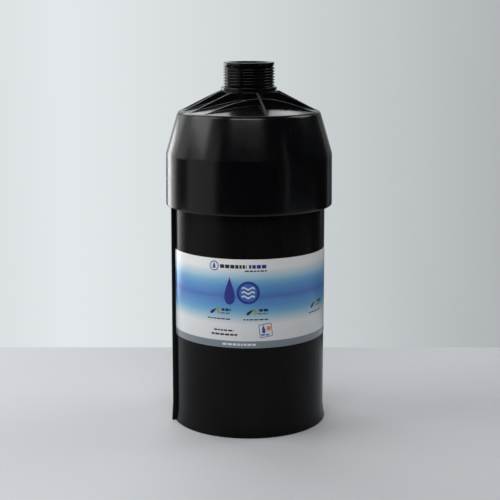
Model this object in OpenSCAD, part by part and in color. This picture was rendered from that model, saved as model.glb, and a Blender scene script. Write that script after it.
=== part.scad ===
// Filter cartridge for water that may carry mineral oil. A ribbed bell cap with a pipe-threaded
// inlet is pushed over a plain tube. The tube holds felts and granule beds between an outlet grid
// that twists off and a sprung follower that rises as the beds swell.
// Millimetres, +Z up, front towards -Y, origin on the floor at the centre of the foot.

/* [Tube] */
// Outer diameter of the tube
tube_d = 125; // [123:0.5:126]
// Wall thickness of the tube
tube_wall = 3.2; // [2.8:0.1:3.4]
// Height of the tube's top edge
tube_h = 221.5; // [217:0.5:222]
// How far the foot spreads out beyond the tube
foot_spread = 1.6; // [0.5:0.1:2]
// Height of the spread foot
foot_h = 16; // [12:1:24]
// How far the side rail stands out of the tube
rail_out = 3.2; // [2:0.1:4.5]
// Angular width of the side rail
rail_angle = 2.7; // [2:0.1:5]
// Direction of the side rail, counted from +X
rail_turn = 193.7; // [0:0.1:360]

/* [Label] */
// Height of the label's lower edge
label_z = 74.9; // [40:0.1:100]
// Height of the label
label_h = 72; // [40:1:75]
// Thickness of the label
label_t = 0.25; // [0.15:0.05:0.4]

/* [Cap] */
// Outer diameter of the cap's skirt
cap_d = 137; // [136:0.5:138]
// Height of the skirt's lower rim
skirt_z = 181.8; // [176:0.2:182]
// Outer radius of the shoulder between cone and deck
shoulder_r = 58.3; // [56:0.1:60]
// Height of the shoulder
shoulder_z = 258.3; // [255:0.1:259]
// Wall thickness of the cap's cone and deck
cap_wall = 3.1; // [2.6:0.1:3.4]
// Slope of the deck, rising to the neck
deck_slope = 14.8; // [12:0.1:16]
// Outer radius of the neck
neck_r = 21.7; // [21.3:0.1:22.2]
// Height of the neck's top
neck_z = 274.6; // [273:0.1:276]

/* [Webs] */
// Thickness of the webs on the deck
web_t = 2; // [1.4:0.1:3]
// Distance between the parallel webs
web_pitch = 16.5; // [15:0.1:17.5]
// Turn of the set of webs about the axis
web_turn = 15.2; // [-45:0.1:45]
// Slope of the webs' top edges
web_slope = 27.4; // [25:0.1:29]

/* [Inlet] */
// Height of the inlet's mouth above the floor
inlet_z = 298; // [296:0.5:302]
// Crest radius of the inlet thread, 1 1/4 inch parallel pipe thread
thread_r = 20.955; // [20.955]
// Pitch of the inlet thread
thread_pitch = 2.309; // [2.309]
// Ridges on the inlet thread
thread_ridges = 7; // [5:1:7]
// Radius of the inlet bore
inlet_bore_r = 16.6; // [16.4:0.1:17]

/* [Filling] */
// Thickness of the lower granule bed
lock_bed_h = 60; // [40:1:62]
// Thickness of the upper granule bed
sorbent_bed_h = 58; // [40:1:60]

/* [Outlet] */
// Height of the lugs' ledge on the outlet ring
ledge_z = 8; // [7:0.5:9]
// Angular length of one ledge
ledge_angle = 50; // [44:1:54]
// Angular length of one lug on the grid
lug_angle = 34; // [28:1:36]

/* [Hidden] */
$fn = 96;

// Play between neighbours: bonded or stacked pieces, and pieces that slide past each other
bond = 0.2;
play = 0.4;

// Tube
tube_r = tube_d / 2;
tube_in_r = tube_r - tube_wall;
foot_points = 6;
tube_edge = 0.8;
rail_top = skirt_z - 0.8;

// Cap: socket around the tube, seals in the socket, cone, deck and neck
cap_r = cap_d / 2;
socket_r = tube_r + play;
socket_top = tube_h + 0.3;
stop_r = tube_in_r + 0.3;
skirt_draft = 0.3;
knee_z = socket_top + 2.5;
neck_bore_r = 18.8;
boss_r = 24;
boss_z = 262;
seal_r = 1.32;
seal_ring_r = tube_r + 0.18 + seal_r;
seal_heights = [skirt_z + 14, skirt_z + 26];
function deck_z(r) = shoulder_z + (shoulder_r - r) * tan(deck_slope);
web_inset = 1.4;
function web_z(r) = deck_z(shoulder_r) + (shoulder_r - web_inset - r) * tan(web_slope);

// Inlet spigot: collar on a gasket, shank through the neck, nut under the deck
gasket_t = 1;
collar_z = neck_z + gasket_t;
collar_t = 2.5;
collar_r = 22.7;
shank_r = 18.5;
shank_z = 249;
washer_t = 1.6;
nut_t = 8;
nut_flats = 46;
thread_root_r = 19.476;
crest_flat = 0.5;
ridge_flank = (thread_r - thread_root_r) * tan(27.5);
top_ridge_z = inlet_z - 3.8;

// Strainer in the inlet: it sits on a ledge in the spigot and lifts out of the mouth
seat_r = 15.9;
seat_top = 270;
seat_z = 254;
throat_r = 14.4;
strainer_rim_r = 15.5;
strainer_rim_t = 2;
basket_r = 13;
basket_z = 236;
basket_wall = 0.7;
bail_r = 14.2;
bail_sink = 2.5;
bail_wire_r = 1;

// Filling: a stack of discs from the outlet ring upwards
ring_z = 5;
ring_top = 16;
screen_t = 0.6;
felt_low_h = 7;
separator_t = 2.5;
felt_mid_h = 5;
felt_top_h = 10;
fill_r = tube_in_r - 0.4;
screen_low_z = ring_top + bond;
felt_low_z = screen_low_z + screen_t + bond;
lock_bed_z = felt_low_z + felt_low_h + bond;
separator_z = lock_bed_z + lock_bed_h + bond;
felt_mid_z = separator_z + separator_t + bond;
sorbent_bed_z = felt_mid_z + felt_mid_h + bond;
screen_top_z = sorbent_bed_z + sorbent_bed_h + bond;
felt_top_z = screen_top_z + screen_t + bond;

// Follower, its stem and spring, and the diffuser plate that guides them
follower_z = felt_top_z + felt_top_h + 0.3;
follower_t = 4;
follower_r = tube_in_r - 0.6;
follower_rim_h = 8;
hub_r = 9;
hub_h = 9.5;
stem_r = 4;
stem_top = 216;
clip_z = 213;
clip_t = 1;
diffuser_z = 203.5;
diffuser_t = 3;
diffuser_rim_h = 5.4;
bush_top = 212;
bush_r = 6.5;
spring_r = 24;
wire_r = 1.3;
spring_turns = 5;
seat_t = 1.6;
seat_w = 3.4;
spring_low_z = follower_z + follower_t + seat_t;
spring_top_z = diffuser_z - seat_t;

// Snap ring in its groove in the tube
snap_z = diffuser_z + diffuser_rim_h + 0.4;
snap_t = 2;
snap_groove_r = tube_in_r + 1.7;
snap_gap = 30;

// Outlet ring and grid: three lugs turn onto three ledges
ring_r = tube_in_r - bond;
ring_in_r = 54.5;
ledge_r = 50.6;
stop_angle = 4;
grid_r = 50;
grid_z = ledge_z + play;
grid_h = 5.2;
lug_r = ring_in_r - 0.6;
lug_t = 3;
grid_rings = [[46, grid_r], [29, 32], [12, 15]];
grid_spokes = 12;

// A ring with a square section
module ring(inner, outer, z, h) {
    rotate_extrude()
        translate([inner, z])
            square([outer - inner, h]);
}

// Part of such a ring, from one angle over a span
module arc(inner, outer, z, h, from, span) {
    rotate([0, 0, from])
        rotate_extrude(angle = span)
            translate([inner, z])
                square([outer - inner, h]);
}

// Round holes on a circle, through a plate
module hole_circle(count, at, hole_r, z, h) {
    for (i = [0 : count - 1])
        rotate([0, 0, i * 360 / count])
            translate([at, 0, z])
                cylinder(r = hole_r, h = h, $fn = 32);
}

// A hexagon nut
module hex_nut(flats, bore, z, h) {
    difference() {
        translate([0, 0, z])
            cylinder(d = flats / cos(30), h = h, $fn = 6);
        translate([0, 0, z - 1])
            cylinder(r = bore, h = h + 2);
    }
}

module cap_shell() {
    groove_half = seal_r + 0.3;
    groove_r = seal_ring_r + seal_r + 0.1;
    cone_in_r = cap_r - skirt_draft - cap_wall - 0.6;
    rotate_extrude()
        difference() {
            polygon([
                [neck_bore_r, boss_z],
                [neck_bore_r, neck_z],
                [neck_r, neck_z],
                [neck_r, deck_z(neck_r)],
                [shoulder_r - 1.4, deck_z(shoulder_r - 1.4)],
                [shoulder_r - 0.4, shoulder_z - 0.2],
                [shoulder_r + 0.3, shoulder_z - 1.2],
                [cap_r - skirt_draft - 0.3, knee_z + 0.8],
                [cap_r - skirt_draft, knee_z - 1],
                [cap_r, skirt_z + 1.2],
                [cap_r - 0.3, skirt_z + 0.3],
                [cap_r - 1, skirt_z],
                [socket_r + 1, skirt_z],
                [socket_r, skirt_z + 1.6],
                [socket_r, socket_top],
                [stop_r, socket_top],
                [stop_r, socket_top + 3],
                [cone_in_r, socket_top + 6.5],
                [shoulder_r - cap_wall, shoulder_z - cap_wall],
                [boss_r, deck_z(boss_r) - cap_wall],
                [boss_r, boss_z]
            ]);
            for (z = seal_heights)
                translate([socket_r - 1, z - groove_half])
                    square([groove_r - socket_r + 1, 2 * groove_half]);
        }
}

// The space between the deck and the webs' sloping tops
module web_envelope() {
    neck_end = shoulder_r - web_inset - (neck_z - deck_z(shoulder_r)) / tan(web_slope);
    rotate_extrude()
        polygon([
            [neck_r - 1, deck_z(neck_r - 1) - 1],
            [neck_r - 1, neck_z],
            [neck_end, neck_z],
            [shoulder_r - 1.4, web_z(shoulder_r - 1.4)],
            [shoulder_r - 1.4, deck_z(shoulder_r - 1.4) - 1]
        ]);
}

module top_cap() {
    color("#17181a") {
        cap_shell();
        intersection() {
            web_envelope();
            rotate([0, 0, web_turn])
                union() {
                    for (i = [-2 : 2])
                        translate([-cap_r, i * web_pitch - web_t / 2, shoulder_z - 3])
                            cube([cap_d, web_t, neck_z - shoulder_z + 6]);
                    translate([-web_t / 2, -cap_r, shoulder_z - 3])
                        cube([web_t, cap_d, neck_z - shoulder_z + 6]);
                }
        }
    }
}

module inlet_spigot() {
    ridges = [
        for (i = [0 : thread_ridges - 1], p = [[0, 1], [1, 1], [1, -1], [0, -1]])
            [
                p[0] == 1 ? thread_r : thread_root_r,
                top_ridge_z - i * thread_pitch
                    + p[1] * (p[0] == 1 ? crest_flat / 2 : crest_flat / 2 + ridge_flank)
            ]
    ];
    color("#1b1c1e")
        rotate_extrude()
            polygon(concat(
                [
                    [inlet_bore_r, seat_top],
                    [inlet_bore_r, inlet_z - 0.6],
                    [inlet_bore_r + 0.6, inlet_z],
                    [thread_r - 0.8, inlet_z],
                    [thread_r - 0.4, inlet_z - 0.5],
                    [thread_r - 0.4, inlet_z - 2],
                    [thread_root_r, inlet_z - 2.2]
                ],
                ridges,
                [
                    [thread_root_r, collar_z + collar_t],
                    [collar_r, collar_z + collar_t],
                    [collar_r, collar_z],
                    [shank_r, collar_z],
                    [shank_r, shank_z],
                    [throat_r, shank_z],
                    [throat_r, seat_z],
                    [seat_r, seat_z],
                    [seat_r, seat_top]
                ]
            ));
}

module spigot_gasket() {
    color("#0c0c0c")
        ring(shank_r + 0.1, neck_r - 0.2, neck_z, gasket_t);
}

module spigot_washer() {
    color("silver")
        ring(shank_r + 0.1, boss_r + 1, boss_z - washer_t, washer_t);
}

module spigot_nut() {
    color("#222326")
        hex_nut(nut_flats, shank_r + 0.1, boss_z - washer_t - nut_t, nut_t);
}

module cap_seals() {
    color("#101010")
        for (z = seal_heights)
            translate([0, 0, z])
                rotate_extrude()
                    translate([seal_ring_r, 0])
                        circle(r = seal_r, $fn = 32);
}

module strainer_rim() {
    color("#2b2d30") {
        ring(basket_r + 0.05, strainer_rim_r, seat_z + bond, strainer_rim_t);
        ring(basket_r + 0.05, throat_r - 0.4, seat_z - 3, 3 + bond);
    }
}

module strainer_basket() {
    hole_r = 1.2;
    rows = 4;
    columns = 16;
    row_pitch = 3.6;
    color("silver")
        difference() {
            translate([0, 0, basket_z])
                cylinder(r = basket_r, h = seat_z + 1.6 - basket_z);
            translate([0, 0, basket_z + basket_wall])
                cylinder(r = basket_r - basket_wall, h = seat_z - basket_z + 5);
            for (row = [0 : rows - 1], i = [0 : columns - 1])
                rotate([0, 0, (i + row % 2 / 2) * 360 / columns])
                    translate([basket_r - 3, 0, basket_z + 2.6 + row * row_pitch])
                        rotate([0, 90, 0])
                            cylinder(r = hole_r, h = 6, $fn = 24);
            hole_circle(6, 4.5, hole_r, basket_z - 1, 3);
            hole_circle(12, 9, hole_r, basket_z - 1, 3);
        }
}

// A wire loop to lift the strainer by
module strainer_bail() {
    foot_z = seat_z + bond + strainer_rim_t;
    reach = bail_r + 2 * bail_wire_r;
    color("silver")
        intersection() {
            translate([0, 0, foot_z - bail_sink])
                rotate([90, 0, 0])
                    rotate_extrude()
                        translate([bail_r, 0])
                            circle(r = bail_wire_r, $fn = 24);
            translate([-reach, -reach, foot_z])
                cube(2 * reach);
        }
}

module body_tube() {
    foot = [
        for (i = [0 : foot_points])
            [tube_r + foot_spread * pow(1 - i / foot_points, 2), foot_h * i / foot_points]
    ];
    color("#141517")
        rotate_extrude()
            polygon(concat(
                foot,
                [
                    [tube_r, tube_h - tube_edge],
                    [tube_r - tube_edge, tube_h],
                    [tube_in_r, tube_h],
                    [tube_in_r, snap_z + snap_t + 0.2],
                    [snap_groove_r, snap_z + snap_t + 0.2],
                    [snap_groove_r, snap_z - 0.2],
                    [tube_in_r, snap_z - 0.2],
                    [tube_in_r, 4],
                    [tube_in_r + 1.3, 0]
                ]
            ));
}

module side_rail() {
    inner = [
        for (i = [foot_points : -1 : 0])
            [tube_r + 0.05 + foot_spread * pow(1 - i / foot_points, 2), foot_h * i / foot_points]
    ];
    color("#141517")
        rotate([0, 0, rail_turn - rail_angle / 2])
            rotate_extrude(angle = rail_angle)
                polygon(concat(
                    inner,
                    [
                        [tube_r + rail_out + 0.9, 0],
                        [tube_r + rail_out, foot_h],
                        [tube_r + rail_out, rail_top - 0.6],
                        [tube_r + rail_out - 0.6, rail_top],
                        [tube_r + 0.05, rail_top]
                    ]
                ));
}

module label() {
    margin = 2;
    color("white")
        arc(tube_r + 0.03, tube_r + 0.03 + label_t, label_z, label_h,
            rail_turn + rail_angle / 2 + margin / 4, 360 - rail_angle - margin);
}

module snap_ring() {
    color("silver")
        difference() {
            union() {
                arc(tube_in_r - 2.2, snap_groove_r - 0.3, snap_z, snap_t,
                    90 + snap_gap / 2, 360 - snap_gap);
                for (side = [-1, 1])
                    rotate([0, 0, 90 + side * (snap_gap / 2 + 2)])
                        translate([tube_in_r - 3.4, 0, snap_z])
                            cylinder(r = 3, h = snap_t);
            }
            for (side = [-1, 1])
                rotate([0, 0, 90 + side * (snap_gap / 2 + 2)])
                    translate([tube_in_r - 3.8, 0, snap_z - 1])
                        cylinder(r = 1.2, h = snap_t + 2, $fn = 32);
        }
}

module diffuser_plate() {
    color("#d9dbdc")
        difference() {
            union() {
                translate([0, 0, diffuser_z])
                    cylinder(r = fill_r, h = diffuser_t);
                ring(fill_r - 2.5, fill_r, diffuser_z, diffuser_rim_h);
                translate([0, 0, diffuser_z])
                    cylinder(r = hub_r + 1, h = bush_top - diffuser_z - 1.2);
            }
            translate([0, 0, diffuser_z - 1])
                cylinder(r = bush_r + 0.05, h = 20);
            for (circle_of = [[8, 18], [14, 30], [20, 40], [26, 50]])
                hole_circle(circle_of[0], circle_of[1], 2.8, diffuser_z - 1, diffuser_t + 2);
        }
}

module guide_bush() {
    color("#efe9d8")
        difference() {
            union() {
                translate([0, 0, diffuser_z])
                    cylinder(r = bush_r, h = bush_top - diffuser_z);
                translate([0, 0, bush_top - 1.2])
                    cylinder(r = bush_r + 2, h = 1.2);
            }
            translate([0, 0, diffuser_z - 1])
                cylinder(r = stem_r + 0.3, h = 20);
        }
}

module upper_spring_seat() {
    color("silver")
        ring(spring_r - seat_w, spring_r + seat_w, spring_top_z, seat_t);
}

module lower_spring_seat() {
    color("silver")
        ring(spring_r - seat_w, spring_r + seat_w, follower_z + follower_t, seat_t);
}

// A round wire wound as a helix
module bed_spring() {
    sides = 8;
    steps = 80;
    low = spring_low_z + wire_r + 0.1;
    rise = spring_top_z - spring_low_z - 2 * wire_r - 0.2;
    points = [
        for (i = [0 : steps], j = [0 : sides - 1])
            let (
                t = i / steps,
                turn = 360 * spring_turns * t,
                side = 360 * j / sides,
                r = spring_r + wire_r * cos(side),
                z = low + rise * t
            )
            [r * cos(turn), r * sin(turn), z + wire_r * sin(side)]
    ];
    faces = concat(
        [[for (j = [0 : sides - 1]) j]],
        [
            for (i = [0 : steps - 1], j = [0 : sides - 1])
                let (a = i * sides + j, b = i * sides + (j + 1) % sides)
                [b, a, a + sides, b + sides]
        ],
        [[for (j = [sides - 1 : -1 : 0]) steps * sides + j]]
    );
    color("silver")
        polyhedron(points = points, faces = faces);
}

module follower_plate() {
    color("#c9ccce")
        difference() {
            union() {
                translate([0, 0, follower_z])
                    cylinder(r = follower_r, h = follower_t);
                ring(follower_r - 2, follower_r, follower_z, follower_rim_h);
                translate([0, 0, follower_z])
                    cylinder(r = hub_r, h = hub_h);
                for (i = [0 : 7])
                    rotate([0, 0, (i + 0.5) * 45])
                        translate([spring_r + seat_w + 1, -1, follower_z])
                            cube([follower_r - spring_r - seat_w - 2, 2, follower_rim_h - 1.5]);
            }
            translate([0, 0, follower_z - 1])
                cylinder(r = stem_r + 0.02, h = 20);
            for (circle_of = [[8, 15], [16, 35], [16, 44.5], [16, 52.5]])
                rotate([0, 0, 11.25])
                    hole_circle(circle_of[0], circle_of[1], 2.6, follower_z - 1, follower_t + 2);
        }
}

module follower_stem() {
    color("silver")
        difference() {
            translate([0, 0, follower_z])
                cylinder(r = stem_r, h = stem_top - follower_z);
            ring(stem_r - 0.8, stem_r + 1, clip_z - 0.1, clip_t + 0.2);
        }
}

module stem_nut() {
    color("silver")
        hex_nut(13, stem_r + 0.02, follower_z + hub_h, 6.5);
}

module stem_clip() {
    color("silver")
        arc(stem_r - 0.7, stem_r + 3, clip_z, clip_t, 20, 320);
}

// One disc of the filling
module fill_disc(z, h) {
    translate([0, 0, z])
        cylinder(r = fill_r, h = h);
}

// A disc with rings of round holes, as the screens and the separator have
module perforated_disc(z, h, hole_r, pitch) {
    difference() {
        fill_disc(z, h);
        for (k = [1 : floor((fill_r - pitch / 2) / pitch)])
            hole_circle(6 * k, k * pitch, hole_r, z - 1, h + 2);
        translate([0, 0, z - 1])
            cylinder(r = hole_r, h = h + 2, $fn = 32);
    }
}

module top_felt() {
    color("#e4e4de")
        fill_disc(felt_top_z, felt_top_h);
}

module top_screen() {
    color("silver")
        perforated_disc(screen_top_z, screen_t, 2.6, 9);
}

module sorbent_bed() {
    color("#d8d2bd")
        fill_disc(sorbent_bed_z, sorbent_bed_h);
}

module middle_felt() {
    color("#e4e4de")
        fill_disc(felt_mid_z, felt_mid_h);
}

module separator_disc() {
    color("#b9bdc0")
        perforated_disc(separator_z, separator_t, 3.4, 10.5);
}

module lock_bed() {
    color("#efece4")
        fill_disc(lock_bed_z, lock_bed_h);
}

module bottom_felt() {
    color("#e4e4de")
        fill_disc(felt_low_z, felt_low_h);
}

module bottom_screen() {
    color("silver")
        perforated_disc(screen_low_z, screen_t, 2.6, 9);
}

module outlet_ring() {
    color("#1b1c1e") {
        ring(ring_in_r, ring_r, ring_z, ring_top - ring_z);
        for (i = [0 : 2]) {
            arc(ledge_r, ring_in_r + 0.5, ring_z, ledge_z - ring_z, i * 120, ledge_angle);
            arc(ledge_r, ring_in_r + 0.5, ring_z, ledge_z + 4 - ring_z, i * 120, stop_angle);
        }
    }
}

module support_grid() {
    bar = [64, 7, 2.6];
    color("#222326")
        difference() {
            union() {
                for (r = grid_rings)
                    ring(r[0], r[1], grid_z, grid_h);
                for (i = [0 : grid_spokes - 1])
                    rotate([0, 0, i * 360 / grid_spokes])
                        translate([5, -1.1, grid_z])
                            cube([43, 2.2, grid_h - 0.6]);
                translate([0, 0, grid_z])
                    cylinder(r = 7, h = grid_h);
                for (i = [0 : 2])
                    arc(grid_r - 1, lug_r, grid_z, lug_t, i * 120 + stop_angle + 2, lug_angle);
                translate([-bar[0] / 2, -bar[1] / 2, grid_z - bar[2]])
                    cube([bar[0], bar[1], bar[2] + 1]);
            }
            translate([0, 0, grid_z - 5])
                cylinder(r = 2.5, h = 20, $fn = 32);
        }
}

top_cap();
inlet_spigot();
spigot_gasket();
spigot_washer();
spigot_nut();
cap_seals();
strainer_rim();
strainer_basket();
strainer_bail();
body_tube();
side_rail();
label();
snap_ring();
diffuser_plate();
guide_bush();
upper_spring_seat();
bed_spring();
lower_spring_seat();
follower_plate();
follower_stem();
stem_nut();
stem_clip();
top_felt();
top_screen();
sorbent_bed();
middle_felt();
separator_disc();
lock_bed();
bottom_felt();
bottom_screen();
outlet_ring();
support_grid();
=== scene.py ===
"""Looks of the oil-retention filter cartridge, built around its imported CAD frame.

Metres, +Z up, front towards -Y. Lengths written with MM are millimetres.
"""
import math

import bmesh
import bpy
from mathutils import Matrix, Vector, noise


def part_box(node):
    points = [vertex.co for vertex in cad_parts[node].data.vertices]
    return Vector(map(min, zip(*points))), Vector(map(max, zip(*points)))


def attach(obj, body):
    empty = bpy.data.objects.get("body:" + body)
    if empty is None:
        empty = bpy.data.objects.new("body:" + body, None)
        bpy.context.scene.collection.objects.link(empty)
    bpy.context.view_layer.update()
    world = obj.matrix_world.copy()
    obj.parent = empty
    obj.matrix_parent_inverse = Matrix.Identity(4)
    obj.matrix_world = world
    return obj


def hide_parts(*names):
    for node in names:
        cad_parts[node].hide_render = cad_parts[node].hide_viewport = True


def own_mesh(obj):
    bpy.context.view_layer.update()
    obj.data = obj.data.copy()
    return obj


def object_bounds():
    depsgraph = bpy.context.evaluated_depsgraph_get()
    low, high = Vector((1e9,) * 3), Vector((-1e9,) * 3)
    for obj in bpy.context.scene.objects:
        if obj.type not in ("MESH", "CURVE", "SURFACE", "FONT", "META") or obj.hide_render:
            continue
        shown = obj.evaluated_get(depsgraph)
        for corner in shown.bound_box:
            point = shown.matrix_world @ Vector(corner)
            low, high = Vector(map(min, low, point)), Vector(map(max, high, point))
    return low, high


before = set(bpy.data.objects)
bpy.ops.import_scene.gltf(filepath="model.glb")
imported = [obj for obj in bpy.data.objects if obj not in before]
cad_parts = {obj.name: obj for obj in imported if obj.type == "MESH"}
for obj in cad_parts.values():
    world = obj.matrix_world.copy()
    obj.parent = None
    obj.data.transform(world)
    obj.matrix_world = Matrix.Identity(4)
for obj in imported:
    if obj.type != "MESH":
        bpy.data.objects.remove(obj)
cad_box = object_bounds()

MM = 0.001


def low(node):
    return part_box(node)[0]


def high(node):
    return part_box(node)[1]


# Sizes that the frame gives
CAP_R = high("top_cap").x
SKIRT_Z = low("top_cap").z
NECK_Z = high("top_cap").z
TUBE_TOP = high("body_tube").z
FOOT_R = high("body_tube").x
LABEL_R = high("label").x
LABEL_LOW = low("label").z
LABEL_HIGH = high("label").z
MOUTH_Z = high("inlet_spigot").z
SHANK_Z = low("inlet_spigot").z
COLLAR_R = high("inlet_spigot").x
COLLAR_Z = high("spigot_gasket").z
RAIL_TOP = high("side_rail").z
SNAP_LOW = low("snap_ring").z
SNAP_HIGH = high("snap_ring").z

# Tube, label and rail
LABEL_STANDOFF = 0.03 * MM
LABEL_T = 0.25 * MM
TUBE_R = LABEL_R - LABEL_T - LABEL_STANDOFF
TUBE_IN_R = high("top_felt").x + 0.4 * MM
TUBE_FOOT_OPENING = 4 * MM
SNAP_PLAY = 0.2 * MM
SNAP_GROOVE = 1.7 * MM
FOOT_H = 16 * MM
RAIL_TURN = math.radians(193.7)
RAIL_ANGLE = math.radians(2.7)
RAIL_OUT = 3.2 * MM

# Proportions of the cap that its box doesn't give
NECK_R = 21.7 * MM
NECK_BORE_R = 18.8 * MM
BOSS_R = 24 * MM
BOSS_Z = NECK_Z - 12.6 * MM
SHOULDER_R = 58.3 * MM
SHOULDER_Z = NECK_Z - 16.3 * MM
DECK_SLOPE = math.tan(math.radians(14.8))
WEB_SLOPE = math.tan(math.radians(27.4))
CAP_WALL = 3.1 * MM
SOCKET_R = TUBE_R + 0.4 * MM
SOCKET_TOP = TUBE_TOP + 0.3 * MM
STOP_R = TUBE_IN_R + 0.3 * MM
SEAL_HEIGHTS = (14 * MM, 26 * MM)
SEAL_GROOVE_HALF = 1.62 * MM
SEAL_GROOVE_R = TUBE_R + 2.92 * MM
KNEE_Z = SOCKET_TOP + 2.5 * MM
WEB_TURN = math.radians(15.2)
WEB_PITCH = 16.5 * MM
WEB_T = 2.0 * MM
WEB_INSET = 1.4 * MM

# Inlet: a 1 1/4 inch parallel pipe thread, with a bore in three steps and a plain shank below
CREST_R = 20.955 * MM
ROOT_R = 19.476 * MM
PITCH = 2.309 * MM
COLLAR_T = 2.5 * MM
LEAD_H = 2.6 * MM
BORE_R = 16.6 * MM
SEAT_R = 15.9 * MM
THROAT_R = 14.4 * MM
SHANK_R = 18.5 * MM
SEAT_TOP = MOUTH_Z - 28 * MM
SEAT_Z = MOUTH_Z - 44 * MM


# ---------------------------------------------------------------- mesh helpers

def polar(r, angle, z):
    return (r * math.cos(angle), r * math.sin(angle), z)


def place(name, mesh, material, body):
    """Turns a mesh into a piece that rides on a body and takes this material."""
    mesh.materials.append(material)
    made = bpy.data.objects.new(name, mesh)
    bpy.context.collection.objects.link(made)
    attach(made, body)
    return made


class Shape:
    """Vertices and faces that grow part by part and become one piece."""

    def __init__(self):
        self.verts = []
        self.faces = []

    def grid(self, rows, wrap_rows=False, wrap_columns=False, capped=False):
        """Joins equal rows of points with quads. Capped closes the first and the last row."""
        first = len(self.verts)
        count = len(rows[0])
        faces = []
        for i in range(len(rows) - (0 if wrap_rows else 1)):
            for j in range(count - (0 if wrap_columns else 1)):
                a, b = i, (i + 1) % len(rows)
                c, d = j, (j + 1) % count
                faces.append([a * count + c, b * count + c, b * count + d, a * count + d])
        if capped:
            last = (len(rows) - 1) * count
            faces.append(list(range(count)))
            faces.append([last + j for j in reversed(range(count))])
        self.verts += [tuple(p) for row in rows for p in row]
        self.faces += [[first + i for i in face] for face in faces]

    def lathe(self, outline, turns, closed=True):
        """Sweeps an outline of (radius, height) points round the Z axis in this many steps."""
        angles = [2 * math.pi * i / turns for i in range(turns)]
        rows = [[polar(r, a, z) for a in angles] for r, z in outline]
        self.grid(rows, wrap_rows=closed, wrap_columns=True)

    def piece(self, name, body, slot, material, sharp, merge=1e-6):
        """Makes the piece: points closer than merge join, and edges over sharp degrees stay crisp."""
        mesh = bpy.data.meshes.new(name)
        mesh.from_pydata(self.verts, [], self.faces)
        work = bmesh.new()
        work.from_mesh(mesh)
        bmesh.ops.remove_doubles(work, verts=work.verts, dist=merge)
        bmesh.ops.dissolve_degenerate(work, edges=work.edges, dist=merge / 2)
        bmesh.ops.recalc_face_normals(work, faces=work.faces)
        work.to_mesh(mesh)
        work.free()
        mesh.shade_smooth()
        mesh.set_sharp_from_angle(angle=math.radians(sharp))
        return place(name, mesh, material, body)


def rounded(corners, steps=5):
    """An outline through corners (x, y, reach), each a curve from reach before it to reach after."""
    outline = []
    for i, (x, y, reach) in enumerate(corners):
        here = Vector((x, y))
        if reach == 0:
            outline.append(here)
            continue
        back = Vector(corners[i - 1][:2]) - here
        ahead = Vector(corners[(i + 1) % len(corners)][:2]) - here
        reach = min(reach, 0.48 * back.length, 0.48 * ahead.length)
        start = here + back.normalized() * reach
        end = here + ahead.normalized() * reach
        for k in range(steps + 1):
            t = k / steps
            outline.append(start.lerp(here, t).lerp(here.lerp(end, t), t))
    return outline


# ---------------------------------------------------------------- materials

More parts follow.
